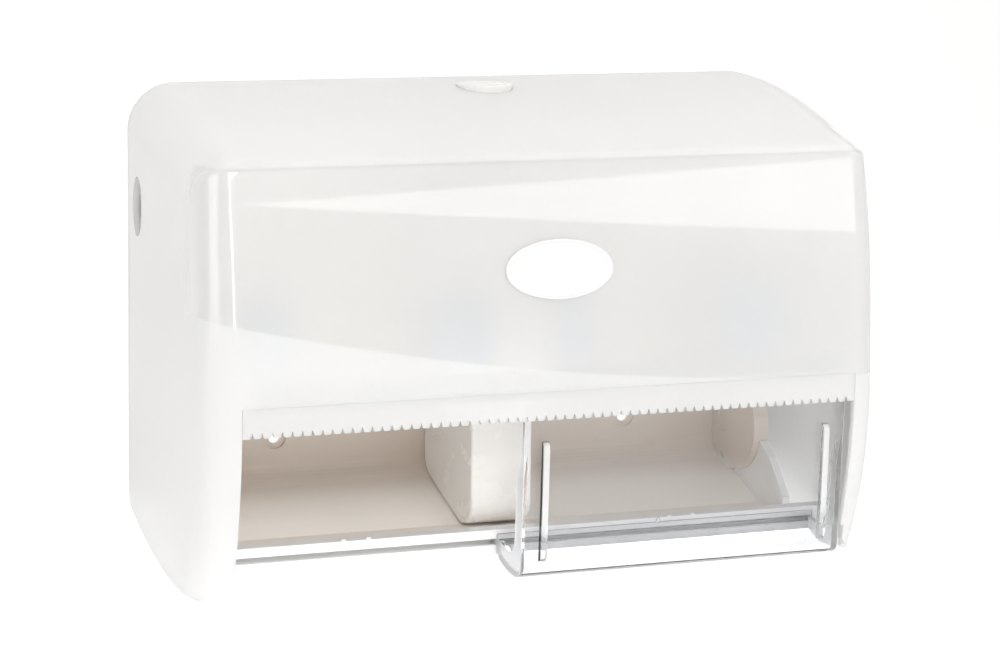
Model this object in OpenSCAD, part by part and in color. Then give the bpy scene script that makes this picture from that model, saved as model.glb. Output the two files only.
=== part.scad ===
// Wall-mounted dispenser for two small toilet rolls side by side.
// X runs to the right, Y into the wall (the wall plane is Y = 0), Z up.
// Shapes are drawn with three plain measures: x, depth out from the wall,
// and height above the lowest tip of the cover.

/* [Body] */
// Overall width
body_w = 300; // [296:2:304]
// Height from the lowest tip of the cover to the top of the wall plate
body_h = 203; // [202:1:205]
// Depth from the wall to the deepest point of the front
body_d = 120; // [119:1:122]
// Wall thickness of the mouldings
wall = 2.5; // [2.2:0.1:2.7]
// Radius of the top corners seen from the front
top_corner_r = 20; // [18:1:22]
// Radius of the front corners seen from above
front_corner_r = 14; // [12:1:20]

/* [Cover] */
// Half width of the opening that the paper comes out of
outlet_half = 137; // [136:0.5:138]
// Height of the tips of the tear edge
tear_h = 69.5; // [69:0.5:71]
// Height where the tear bar meets the front wall
tear_top_h = 81.5; // [81:0.5:82]
// Number of teeth on the tear edge
tooth_count = 65; // [50:1:75]
// Depth of one notch between two teeth
notch_depth = 2.1; // [1:0.1:2.4]
// Height of the centre of the oval badge
badge_h = 131.5; // [125:0.5:140]

/* [Rolls] */
// Depth of the roll axis
axis_d = 62; // [61:0.5:63]
// Height of the roll axis
axis_h = 98; // [96:1:100]
// Radius of a roll hub
hub_r = 17.5; // [16:0.5:18]
// Half width of the centre post
post_half = 13.7; // [13:0.1:14.5]
// Inner face of each side arm
arm_x = 121.5; // [120:0.5:122]

/* [Wall fixing] */
// Distance between the wall screws, side to side
screw_dx = 166; // [160:2:170]
// Distance between the wall screws, up and down
screw_dz = 120; // [116:2:124]
// Radius of the wall screw holes
screw_hole_r = 2.75; // [2.3:0.05:3]

/* [Hidden] */
$fn = 48;

datum_h = 106;          // height of the centre of the wall screw pattern
eps = 0.05;

// wall plate
plate_t = 3;
rim_d = 7;
rim_low_h = 29;
plate_low_h = 25;
tray_half = 131;
tray_front_d = 68;
notch_half = 18.5;

// hinge of the cover
pivot_d = 13.5;
pivot_h = 27;
bracket_x = [128, 135];
hinge_pin_r = 2;
hinge_boss_x = 135.6;

// outline of the cover seen from the side, as arcs
cover_top_h = body_h - 1.6;
top_arc = [[0, cover_top_h - 260], 260];
bulge_h = 78;
front_arc = [[body_d - 480, bulge_h], 480];
skirt_arc = [[body_d - 230, bulge_h], 230];
belly_arc = [[95, 175], 175];
brow_r = 7;
chin_r = 15;
heel_r = belly_arc[1] - norm(belly_arc[0] - [pivot_d, pivot_h]);
cover_rear_d = pivot_d - heel_r;

// shutter and its rail
rail_d = [74, 82];
rail_h = [5.5, 16.5];
slot_half = outlet_half + 0.4;
shutter_w = 149;
shutter_x = [outlet_half - shutter_w, outlet_half];
shutter_t = 2.2;

// latch
button_d = 34;
button_r = 12;
button_top_h = 200.8;
latch_post_x = 20;
finger_d = [14.5, 18.6];
lip_d = [19, 22];

// hubs
pin_r = 3;
hub_gap = 0.2;
hub_len = 22.8;
trunnion_d = 9;
trunnion_r = 2.4;

frost = [0.93, 0.94, 0.95];
cream = [0.95, 0.92, 0.89];
beige = [0.86, 0.82, 0.77];
hub_blue = [0.70, 0.78, 0.86];
steel = [0.75, 0.76, 0.78];
clear = [0.88, 0.90, 0.97, 0.5];

// ---------- drawing helpers in x, depth and height ----------

function arc(centre, r, a0, a1, n = 8) =
    [for (i = [0:n]) let (a = a0 + (a1 - a0) * i / n) centre + r * [cos(a), sin(a)]];

// the angle from point a to point b
function bearing(a, b) = atan2(b[1] - a[1], b[0] - a[0]);

// where two circles meet, on the given side (+1 or -1) of the line c1 to c2
function circles_meet(c1, r1, c2, r2, side) =
    let (gap = norm(c2 - c1), along = (pow(r1, 2) - pow(r2, 2) + pow(gap, 2)) / (2 * gap),
         off = sqrt(pow(r1, 2) - pow(along, 2)), u = (c2 - c1) / gap)
    c1 + along * u + side * off * [-u[1], u[0]];

module at(x, d, h) translate([x, -d, h - datum_h]) children();

// outline of [depth, height] points, drawn from x0 to x1
module side_prism(pts, x0, x1)
    at(x0, 0, 0) rotate([90, 0, 90]) linear_extrude(x1 - x0)
        polygon([for (p = pts) [-p[0], p[1]]]);

// outline of [x, height] points, drawn from depth d0 to d1
module front_prism(pts, d0, d1)
    at(0, d0, 0) rotate([90, 0, 0]) linear_extrude(d1 - d0) polygon(pts);

// outline of [x, depth] points, drawn from height h0 to h1
module plan_prism(pts, h0, h1)
    at(0, 0, h0) linear_extrude(h1 - h0) polygon([for (p = pts) [p[0], -p[1]]]);

module block(x, d, h) at(x[0], d[1], h[0]) cube([x[1] - x[0], d[1] - d[0], h[1] - h[0]]);

module rod_x(d, h, r, x0, x1) at(x0, d, h) rotate([0, 90, 0]) cylinder(r = r, h = x1 - x0);
module rod_h(x, d, r, h0, h1) at(x, d, h0) cylinder(r = r, h = h1 - h0);
module rod_d(x, h, r, d0, d1, r2 = undef)
    at(x, d0, h) rotate([90, 0, 0]) cylinder(r1 = r, r2 = is_undef(r2) ? r : r2, h = d1 - d0);

module both_sides() {
    children();
    mirror([1, 0, 0]) children();
}

// ---------- the skin shared by the cover and the tear bar ----------

brow_c = circles_meet(top_arc[0], top_arc[1] - brow_r, front_arc[0], front_arc[1] - brow_r, -1);
chin_c = circles_meet(skirt_arc[0], skirt_arc[1] - chin_r, belly_arc[0], belly_arc[1] - chin_r, -1);

function top_and_front(t) = concat(
    arc(top_arc[0], top_arc[1] - t, 92, bearing(top_arc[0], brow_c), 14),
    arc(brow_c, brow_r - t, bearing(top_arc[0], brow_c), bearing(front_arc[0], brow_c), 8),
    arc(front_arc[0], front_arc[1] - t, bearing(front_arc[0], brow_c), 0, 8),
    arc(skirt_arc[0], skirt_arc[1] - t, -1, bearing(skirt_arc[0], chin_c), 6));

function cover_outline() = concat(
    [for (p = top_and_front(0)) if (p[0] > cover_rear_d) p],
    arc(chin_c, chin_r, bearing(skirt_arc[0], chin_c), bearing(belly_arc[0], chin_c), 8),
    arc(belly_arc[0], belly_arc[1], bearing(belly_arc[0], chin_c),
        bearing(belly_arc[0], [pivot_d, pivot_h]), 16),
    arc([pivot_d, pivot_h], heel_r, bearing(belly_arc[0], [pivot_d, pivot_h]), -180, 8),
    [[cover_rear_d, cover_top_h - pow(cover_rear_d, 2) / (2 * top_arc[1])]]);

// everything inside the skin at a distance t below its outer face, open below and behind
module within(t) intersection() {
    side_prism(concat(top_and_front(t), [[body_d - 12 - t, -20], [-8, -20]]),
        t - body_w / 2, body_w / 2 - t);
    front_prism(concat([[body_w / 2 - t, -30]],
        arc([body_w / 2 - top_corner_r, cover_top_h - top_corner_r], top_corner_r - t, 0, 90),
        arc([top_corner_r - body_w / 2, cover_top_h - top_corner_r], top_corner_r - t, 90, 180),
        [[t - body_w / 2, -30]]), -20, body_d + 10);
    plan_prism(concat([[body_w / 2 - t, -20]],
        arc([body_w / 2 - front_corner_r, body_d - front_corner_r], front_corner_r - t, 0, 90),
        arc([front_corner_r - body_w / 2, body_d - front_corner_r], front_corner_r - t, 90, 180),
        [[t - body_w / 2, -20]]), -40, body_h + 10);
}

module skin(t0, t1) difference() {
    within(t0);
    within(t1);
}

function oval(rx, ry, n = 36) = [for (i = [0:n - 1]) [rx * cos(i * 360 / n), ry * sin(i * 360 / n)]];

// the badge lies along the slope of the front
module on_badge_spot(depth_in) {
    lean = asin((badge_h - bulge_h) / front_arc[1]);
    surface_d = front_arc[0][0] + front_arc[1] * cos(lean);
    at(0, surface_d, badge_h) rotate([90 - lean, 0, 0]) translate([0, 0, -depth_in]) children();
}

// ---------- fixed parts ----------

function plate_outline(t) = concat(
    arc([body_w / 2 - top_corner_r, body_h - top_corner_r], top_corner_r - t, 0, 90),
    arc([top_corner_r - body_w / 2, body_h - top_corner_r], top_corner_r - t, 90, 180),
    arc([8 - body_w / 2, plate_low_h + 8], 8 - t, 180, 270, 4),
    arc([body_w / 2 - 8, plate_low_h + 8], 8 - t, 270, 360, 4));

tray_bend = [15, 36];
tray_bend_r = 12;
function tray_top(lift) = concat(
    arc(tray_bend, tray_bend_r - lift, 180, 250, 8), [[46, 11.5 + lift], [tray_front_d, 10 + lift]]);

module wall_screw_spots()
    for (x = [-1, 1], z = [-1, 1]) translate([x * screw_dx / 2, 0, z * screw_dz / 2]) children();

module back_plate() color(beige) {
    bracket = concat([[plate_t - eps, 66]], arc([24, 44], 21, 90, -90, 12),
        [[18, 20.5], [12, 20], [plate_t - eps, 26]]);
    // wall at each end of the tray
    cheek = [[plate_t - eps, 42], [40, 42], [54, 33], [tray_front_d, 18], [tray_front_d, 7],
        [46, 8.6], [9.5, 22], [plate_t - eps, 24.5]];
    difference() {
        union() {
            front_prism(plate_outline(0), 0, plate_t);
            intersection() {
                difference() {
                    front_prism(plate_outline(0), 0, rim_d);
                    front_prism(plate_outline(3), -1, rim_d + 1);
                }
                block([-body_w, body_w], [-1, rim_d + 1], [rim_low_h, body_h + 1]);
            }
            side_prism(concat(tray_top(0), [[tray_front_d, 7], [46, 8.6], [9.5, 22], [0.5, 25.2],
                [0.5, 36]]), -tray_half, tray_half);
            both_sides() {
                side_prism(bracket, bracket_x[0] - eps, bracket_x[1]);
                side_prism(cheek, tray_half - eps, tray_half + 3.4);
                for (h = [[73, 77.6], [118.4, 123]])
                    block([arm_x - 2, arm_x + 7], [plate_t - eps, trunnion_d + 5], h);
                rod_d(arm_x - 14, 60, 4, plate_t - eps, 10);
            }
            block([-12, 12], [plate_t - eps, lip_d[1]], [184, 186.5]);
            block([-12, 12], lip_d, [179.5, 184.5]);
        }
        // notch in the top of the rim, behind the button
        block([-notch_half, notch_half], [-1, rim_d + 1], [body_h - 2.1, body_h + 5]);
        wall_screw_spots() {
            rotate([90, 0, 0]) translate([0, 0, -5]) cylinder(r = screw_hole_r, h = 20);
            rotate([90, 0, 0]) translate([0, 0, 2]) cylinder(r = 5, h = 12);
        }
        post_screw_spots() {
            rod_d(0, 0, 1.9, -1, 10);
            rod_d(0, 0, 4, -0.2, 1.8, 2.1);
        }
        both_sides() {
            rod_x(pivot_d, pivot_h, hinge_pin_r, bracket_x[0] - 1, bracket_x[1] + 1);
            rod_h(arm_x + 2.5, trunnion_d, trunnion_r + 0.06, 70, 130);
            // round recess on the inner face of each hinge bracket
            rod_x(15, 44, 5.5, bracket_x[0] - 1, bracket_x[0] + 0.8);
        }
    }
}

module post_screw_spots() for (h = [140, 112, 58]) translate([0, 0, h]) children();

function post_outline(t) = concat(
    [[3.1, 150 - t], [24 - t / 2, 150 - t]],
    arc([axis_d, axis_h], 22 - t, 62, -62, 12),
    [[59 - t, 72], [59 - t, 24]],
    arc([49, 22.5], 10 - t, 0, -90, 6),
    [[46, 11.8 + t]], [for (i = [8:-1:0]) arc(tray_bend, tray_bend_r - 0.2 - t, 180, 250, 8)[i]],
    [[3.1 + (t > 0 ? -5 : 0), 37]], t > 0 ? [[-2, 150 - t]] : []);

module centre_post() color(cream) difference() {
    union() {
        difference() {
            side_prism(post_outline(0), -post_half, post_half);
            side_prism(post_outline(wall), wall - post_half, post_half - wall);
        }
        intersection() {
            side_prism(post_outline(0), -post_half, post_half);
            union() {
                // web down the middle, which the screw bosses and the axle boss stand on
                block([-1.2, 1.2], [0, 90], [0, 160]);
                rod_x(axis_d, axis_h, 7, -post_half + 1, post_half - 1);
                post_screw_spots() rod_d(0, 0, 4.2, 3.1, 26);
            }
        }
        for (side = [-1, 1])
            rod_x(axis_d, axis_h, 7, min(side * (post_half - 1), side * (post_half + 0.1)),
                max(side * (post_half - 1), side * (post_half + 0.1)));
    }
    rod_x(axis_d, axis_h, pin_r, -post_half - 1, post_half + 1);
    post_screw_spots() rod_d(0, 0, 1.5, 0, 22);
}

module post_screws() color(steel) post_screw_spots() {
    rod_d(0, 0, 1.5, 1.6, 20);
    rod_d(0, 0, 3.4, 0.1, 1.6, 1.8);
}

// ---------- side arms, axles and hubs, drawn for the right-hand side ----------

module arm() color(frost) difference() {
    union() {
        side_prism(concat([[trunnion_d, 78.2]], arc([axis_d, axis_h], 20, -100, 100, 16),
            [[trunnion_d, 117.8]]), arm_x, arm_x + 5);
        rod_h(arm_x + 2.5, trunnion_d, 3.4, 78.2, 117.8);
        rod_h(arm_x + 2.5, trunnion_d, trunnion_r, 73.2, 122.8);
        rod_x(axis_d, axis_h, 8, arm_x + 4, arm_x + 6);
    }
    rod_x(axis_d, axis_h, pin_r, arm_x - 1, arm_x + 8);
}

module arm_axle() color(steel) {
    rod_x(axis_d, axis_h, pin_r, arm_x - hub_len + 2, arm_x + 6);
    rod_x(axis_d, axis_h, 5, arm_x + 6, arm_x + 7.5);
    rod_x(axis_d, axis_h, 5.4, arm_x - hub_len + 1, arm_x - hub_len + 2.5);
}

// a hub whose root stands against the face at x = face and points to +X or -X
module hub(face, points) color(hub_blue) difference() {
    at(face + points * hub_gap, axis_d, axis_h) rotate([0, points * 90, 0]) rotate_extrude($fn = 64)
        polygon(concat(
            [[pin_r + 0.05, 0], [hub_r + 2, 0], [hub_r + 2, 1.6], [hub_r, 2.2]],
            arc([hub_r - 4, hub_len - 4], 4, 0, 90, 6),
            [[6.4, hub_len], [6.4, hub_len - 3], [pin_r + 0.05, hub_len - 3]]));
    // grip flutes round the barrel
    for (a = [0:60:300]) at(face, axis_d, axis_h) rotate([a, 0, 0])
        translate([points * 4, 0, hub_r + 1]) rotate([0, points * 90, 0]) cylinder(r = 1.8, h = hub_len);
}

module centre_axle() color(steel)
    rod_x(axis_d, axis_h, pin_r, -post_half - hub_len + 1, post_half + hub_len - 1);

module axle_clips() color(steel) both_sides() difference() {
    rod_x(axis_d, axis_h, 5.4, post_half + hub_len - 2.4, post_half + hub_len - 1.4);
    rod_x(axis_d, axis_h, pin_r, post_half, post_half + 40);
}

module hinge_pin() color(steel) rod_x(pivot_d, pivot_h, hinge_pin_r, bracket_x[0] + 0.5, 146.6);

// ---------- cover and what it carries ----------

module rail() difference() {
    block([1 - body_w / 2, body_w / 2 - 1], rail_d, rail_h);
    block([-slot_half, slot_half], [76, 79], [8.5, 13.9]);
    block([-slot_half, slot_half], [78, 83], [10, 12.4]);
}

module cover() color(frost) difference() {
    union() {
        difference() {
            intersection() {
                skin(0, wall);
                side_prism(cover_outline(), -body_w, body_w);
            }
            block([-outlet_half, outlet_half], [84, body_d + 5], [-5, tear_top_h]);
        }
        rail();
        // small stops on top of the rail
        both_sides() for (x = [69, 80])
            rod_h(x, rail_d[1] - 1.2, 1.2, rail_h[1] - 0.3, rail_h[1] + 0.8);
        intersection() {
            within(wall - 0.2);
            both_sides() {
                rod_x(pivot_d, pivot_h, heel_r - 0.1, hinge_boss_x, body_w / 2);
                rod_h(latch_post_x, button_d, 4.5, 186.2, 210);
            }
        }
        // studs that the tear bar is riveted on
        both_sides() for (x = [20, 70, 118]) rod_d(x, 85.5, 1.5, body_d - 6.2, body_d - 2);
    }
    both_sides() {
        rod_x(pivot_d, pivot_h, hinge_pin_r + 0.06, 130, 147);
        rod_h(latch_post_x, button_d, 1.5, 180, 194);
        // oval window that shows how much paper is left
        side_prism([for (p = oval(6, 12.5)) [21, 151] + p], body_w / 2 - 10, body_w / 2 + 5);
    }
    rod_h(0, button_d, button_r + 0.25, 180, 215);
    on_badge_spot(1.2) linear_extrude(5) polygon(oval(24.1, 12.6, 48));
}

// front edge of the tear bar: flat-tipped teeth with narrow notches between them
function tooth_outline() = let (pitch = 2 * outlet_half / tooth_count, half = outlet_half - 0.1)
    concat([[half, tear_top_h - 0.1], [half, tear_h]],
        [for (i = [tooth_count - 1:-1:1]) let (x = i * pitch - outlet_half)
            each [[x + 0.8, tear_h], [x + 0.15, tear_h + notch_depth],
                  [x - 0.15, tear_h + notch_depth], [x - 0.8, tear_h]]],
        [[-half, tear_h], [-half, tear_top_h - 0.1]]);

module tear_bar() color(frost) difference() {
    union() {
        intersection() {
            skin(0.15, wall);
            front_prism(tooth_outline(), 84, body_d + 5);
        }
        intersection() {
            skin(wall - 0.1, wall + 1.8);
            block([-130, 130], [84, body_d], [78, tear_top_h - 0.1]);
        }
        intersection() {
            skin(wall + 0.05, wall + 1.8);
            block([-130, 130], [84, body_d], [tear_top_h - 0.5, 90]);
        }
    }
    both_sides() for (x = [20, 70, 118]) rod_d(x, 85.5, 1.55, 100, body_d);
}

module badge() color("white") on_badge_spot(1.1) linear_extrude(1.7) polygon(oval(23.9, 12.4, 48));

// ---------- clear sliding shutter ----------

panel_top = [111.5, 72.5];
panel_low = [108.4, 5.8];
floor_c = [103.4, 40.8];

// outer face of the panel and floor, moved inwards by t
function shutter_line(t) = concat(
    [panel_top - [t, 0]], arc(panel_low - [5, 0], 5 - t, 0, -90, 6), arc(floor_c, 40 - t, -92, -118, 8));

function reversed(pts) = [for (i = [len(pts) - 1:-1:0]) pts[i]];

module shutter() color(clear) {
    x0 = shutter_x[0];
    x1 = shutter_x[1];
    side_prism(concat(shutter_line(0), reversed(shutter_line(shutter_t))), x0, x1);
    // rear lip and the tongue that runs in the rail
    block([x0, x1], [82.6, 84.8], [6.2, 15]);
    block([x0, x1], [78.4, 83], [10.3, 12.1]);
    block([x0, x1], [76.3, 78.7], [8.8, 13.6]);
    // catch in the middle of the lip
    at((x0 + x1) / 2, 83.7, 14.5) cylinder(r1 = 1.1, r2 = 0.5, h = 2.3);
    // stiffening flange along each end
    flange = concat([[109.8, 56], [103.4, 42]], arc([96, 16], 6, 0, -90, 5),
        [[84.8, 12.5], [84.2, 6.4]], reversed(arc(floor_c, 39.5, -92, -118, 8)),
        reversed(arc(panel_low - [5, 0], 4.5, 0, -90, 6)));
    for (x = [x0, x1 - shutter_t]) side_prism(flange, x, x + shutter_t);
    // finger grips on the front face
    for (x = [x0 + 8, x1 - 10.6])
        side_prism([[108.3, 8], [110.8, 9], [113.2, 56], [112.6, 58.5], [110.4, 59]], x, x + 2.6);
}

// ---------- push-button latch ----------

module latch_button() color(cream) {
    rod_h(0, button_d, button_r, 192, button_top_h - 1);
    at(0, button_d, button_top_h - 1) cylinder(r1 = button_r, r2 = button_r - 1.2, h = 1);
    rod_h(0, button_d, button_r + 1.6, 191, 193);
    rod_h(0, button_d, 4, 158.5, 192);
    rod_h(0, button_d, 7.5, 174.5, 178.5);
    block([-7, 7], [finger_d[0], button_d], [174.5, 178.5]);
    side_prism([[finger_d[0], 178], [finger_d[0], 180], [finger_d[1] - 1.6, 182.5],
        [finger_d[1], 182.5], [finger_d[1], 178]], -7, 7);
}

module latch_housing() color(cream) difference() {
    union() {
        block([-25, 25], [button_d - 11, button_d + 11], [160.5, 164.5]);
        both_sides() rod_h(latch_post_x, button_d, 4.5, 164, 186);
        for (d = [button_d - 11, button_d + 8.5])
            block([-25, 25], [d, d + 2.5], [164, 168]);
    }
    rod_h(0, button_d, 4.1, 150, 170);
    both_sides() rod_h(latch_post_x, button_d, 1.6, 150, 190);
}

module latch_screws() color(steel) both_sides() {
    rod_h(latch_post_x, button_d, 1.5, 160.4, 193.5);
    rod_h(latch_post_x, button_d, 3, 158.2, 160.4);
}

// compression spring as one closed tube swept along a helix
spring_low_h = 164.6;
spring_high_h = 174.4;
spring_r = 5.7;
spring_wire_r = 0.5;
spring_turns = 4;
module latch_spring() color(steel) {
    sides = 8;
    rings = spring_turns * 16;
    climb = spring_high_h - spring_low_h - 2 * spring_wire_r;
    pts = [for (i = [0:rings]) let (a = i * 360 * spring_turns / rings) for (k = [0:sides - 1])
        let (b = k * 360 / sides, r = spring_r + spring_wire_r * cos(b))
        [r * cos(a), r * sin(a), spring_wire_r * (1 + sin(b)) + climb * i / rings]];
    walls = [for (i = [0:rings - 1]) for (k = [0:sides - 1]) let (n = (k + 1) % sides)
        [i * sides + k, (i + 1) * sides + k, (i + 1) * sides + n, i * sides + n]];
    at(0, button_d, spring_low_h) polyhedron(pts, concat([[for (k = [0:sides - 1]) k]], walls,
        [[for (k = [sides - 1:-1:0]) rings * sides + k]]), convexity = 10);
}

// ---------- the nodes ----------

back_plate();
centre_post();
post_screws();
mirror([1, 0, 0]) arm();  // arm_left
arm();  // arm_right
centre_axle();
axle_clips();
mirror([1, 0, 0]) arm_axle();  // arm_axle_left
arm_axle();  // arm_axle_right
hub(-arm_x, 1);  // hub_left_outer
hub(-post_half, -1);  // hub_left_inner
hub(post_half, 1);  // hub_right_inner
hub(arm_x, -1);  // hub_right_outer
mirror([1, 0, 0]) hinge_pin();  // hinge_pin_left
hinge_pin();  // hinge_pin_right
cover();
tear_bar();
badge();
shutter();
latch_button();
latch_housing();
latch_spring();
latch_screws();
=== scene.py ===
"""Final looks of the twin toilet roll dispenser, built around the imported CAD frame.

Shapes are given, as in the CAD source, by x, the depth out from the wall and the height above the
lowest tip of the cover, all in millimetres. point() turns them into the frame's metres.
"""
import math

import bmesh
import bpy
import numpy as np
from mathutils import Matrix, Vector


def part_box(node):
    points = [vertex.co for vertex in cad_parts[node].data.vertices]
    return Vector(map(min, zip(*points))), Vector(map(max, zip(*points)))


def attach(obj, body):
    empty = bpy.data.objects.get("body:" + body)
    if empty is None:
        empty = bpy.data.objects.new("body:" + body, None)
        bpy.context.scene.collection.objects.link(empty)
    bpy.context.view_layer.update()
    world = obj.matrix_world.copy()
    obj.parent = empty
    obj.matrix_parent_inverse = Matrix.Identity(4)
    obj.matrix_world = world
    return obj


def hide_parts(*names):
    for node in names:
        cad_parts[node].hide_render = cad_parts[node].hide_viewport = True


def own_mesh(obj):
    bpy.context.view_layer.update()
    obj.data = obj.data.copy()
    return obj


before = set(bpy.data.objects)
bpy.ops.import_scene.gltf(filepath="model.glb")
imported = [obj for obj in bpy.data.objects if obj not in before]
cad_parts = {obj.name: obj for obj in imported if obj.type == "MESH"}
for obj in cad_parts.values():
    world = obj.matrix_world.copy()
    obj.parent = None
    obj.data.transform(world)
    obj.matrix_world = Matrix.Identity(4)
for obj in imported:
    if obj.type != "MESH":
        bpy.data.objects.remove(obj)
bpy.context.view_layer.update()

MM = 0.001
LOW_Z = min(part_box("cover")[0].z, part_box("shutter")[0].z)


def millimetres(node):
    """The box of a CAD node as ((x, x), (depth, depth), (height, height))."""
    low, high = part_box(node)
    return (
        (low.x / MM, high.x / MM),
        (-high.y / MM, -low.y / MM),
        ((low.z - LOW_Z) / MM, (high.z - LOW_Z) / MM),
    )


def point(x, d, h):
    return Vector((x * MM, -d * MM, LOW_Z + h * MM))


# ---------- sizes, read from the frame where a node shows them ----------

COVER = millimetres("cover")
SHUTTER = millimetres("shutter")
TEAR = millimetres("tear_bar")
BADGE = millimetres("badge")
BUTTON = millimetres("latch_button")
POST = millimetres("centre_post")
SPRING = millimetres("latch_spring")
HUB = millimetres("hub_right_outer")

HALF_W = COVER[0][1]
REAR_D = COVER[1][0]
TOP_H = 201.4  # crown of the cover, at the wall
FRONT_D = 120.0
BULGE_H = 78.0  # where the cover stands out furthest
WALL = 2.5
OUTLET = 137.0  # half the width of the opening in the front
TEAR_LOW = TEAR[2][0]
TEAR_HIGH = 81.5
AXIS_D = (HUB[1][0] + HUB[1][1]) / 2
AXIS_H = (HUB[2][0] + HUB[2][1]) / 2
BUTTON_D = 34.0
SHUTTER_D = 111.5  # front face of the shutter, behind its grips

# arcs of the cover in side view, as (depth, height, radius)
TOP_ARC = (0.0, TOP_H - 260, 260.0)
FRONT_ARC = (FRONT_D - 480, BULGE_H, 480.0)
SKIRT_ARC = (FRONT_D - 230, BULGE_H, 230.0)
BELLY_ARC = (95.0, 175.0, 175.0)
PIVOT = (13.5, 27.0)
BROW_R = 7.0
CHIN_R = 15.0


# ---------- small tools ----------


def smooth(lo, hi, v):
    """Smooth step from 0 at lo to 1 at hi."""
    t = np.clip((np.asarray(v, float) - lo) / (hi - lo), 0, 1)
    return t * t * (3 - 2 * t)


def arc(c, r, a0, a1, n=16):
    """Points on an arc about (c[0], c[1]), in degrees."""
    return [
        (c[0] + r * math.cos(math.radians(a)), c[1] + r * math.sin(math.radians(a)))
        for a in np.linspace(a0, a1, n + 1)
    ]


def circles_meet(c1, r1, c2, r2, side):
    """One of the two points where two circles meet."""
    gap = math.dist(c1, c2)
    along = (r1**2 - r2**2 + gap**2) / (2 * gap)
    off = math.sqrt(r1**2 - along**2)
    ux, uy = (c2[0] - c1[0]) / gap, (c2[1] - c1[1]) / gap
    return (c1[0] + along * ux - side * off * uy, c1[1] + along * uy + side * off * ux)


def show(name, data):
    """Puts a mesh, light or camera into the scene."""
    obj = bpy.data.objects.new(name, data)
    bpy.context.scene.collection.objects.link(obj)
    return obj


def shade(mesh):
    """Smooth shading with sharp edges kept."""
    mesh.shade_smooth()
    mesh.set_sharp_from_angle(angle=math.radians(35))


def new_object(name, verts, faces):
    """A mesh with its doubled points merged and its faces turned one way."""
    mesh = bpy.data.meshes.new(name)
    mesh.from_pydata(verts, [], faces)
    bm = bmesh.new()
    bm.from_mesh(mesh)
    bmesh.ops.remove_doubles(bm, verts=bm.verts, dist=1e-6)
    bmesh.ops.recalc_face_normals(bm, faces=bm.faces)
    bm.to_mesh(mesh)
    bm.free()
    shade(mesh)
    return show(name, mesh)


def prism(name, outline, span, along="x"):
    """A closed outline drawn along an axis. The outline is (depth, height) along x, or (x, depth)
    along the height, "h"."""
    place = {"x": lambda p, s: point(s, p[0], p[1]), "h": lambda p, s: point(p[0], p[1], s)}[along]
    n = len(outline)
    verts = [place(p, s) for s in span for p in outline]
    faces = [tuple(range(n)), tuple(range(2 * n - 1, n - 1, -1))]
    faces += [(i, (i + 1) % n, n + (i + 1) % n, n + i) for i in range(n)]
    return new_object(name, verts, faces)


def lathe(name, profile, at, axis, turns=96, shape=None):
    """A closed profile of (radius, distance) turned about an axis through a point.
    shape(angle, radius, distance) may change the radius round the turn."""
    axis = Vector(axis).normalized()
    side = Vector((0, 0, 1)) if abs(axis.z) < 0.9 else Vector((0, -1, 0))
    other = axis.cross(side)
    n = len(profile)
    verts, faces = [], []
    for i in range(turns):
        a = 2 * math.pi * i / turns
        out = side * math.cos(a) + other * math.sin(a)
        for r, s in profile:
            if shape:
                r = shape(a, r, s)
            verts.append(at + out * (r * MM) + axis * (s * MM))
    for i in range(turns):
        for k in range(n):
            j, m = (i + 1) % turns, (k + 1) % n
            faces.append((i * n + k, j * n + k, j * n + m, i * n + m))
    return new_object(name, verts, faces)


def bevel(obj, width, segments=3, angle=40):
    """Rounds the edges sharper than an angle."""
    m = obj.modifiers.new("bevel", "BEVEL")
    m.width = width * MM
    m.segments = segments
    m.limit_method = "ANGLE"
    m.angle_limit = math.radians(angle)
    m.use_clamp_overlap = True
    return obj


def flatten_normals(obj):
    """Keeps big flat faces flat next to their rounded edges."""
    normals = obj.modifiers.new("normals", "WEIGHTED_NORMAL")
    normals.keep_sharp = True
    return obj


def thicken(obj, thickness):
    """Gives a sheet its thickness, inwards."""
    solid = obj.modifiers.new("wall", "SOLIDIFY")
    solid.thickness = thickness * MM
    solid.offset = -1
    return solid


def apply_modifiers(obj):
    graph = bpy.context.evaluated_depsgraph_get()
    mesh = bpy.data.meshes.new_from_object(obj.evaluated_get(graph))
    obj.modifiers.clear()
    old = obj.data
    obj.data = mesh
    bpy.data.meshes.remove(old)
    shade(mesh)
    return obj


def boolean(obj, others, operation):
    """Joins the others to obj, or cuts them out of it, and removes them."""
    for other in others:
        m = obj.modifiers.new("boolean", "BOOLEAN")
        m.operation = operation
        m.solver = "EXACT"
        m.object = other
        bpy.context.view_layer.update()
        apply_modifiers(obj)
        bpy.data.objects.remove(other)
    return obj


# ---------- materials ----------


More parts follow.
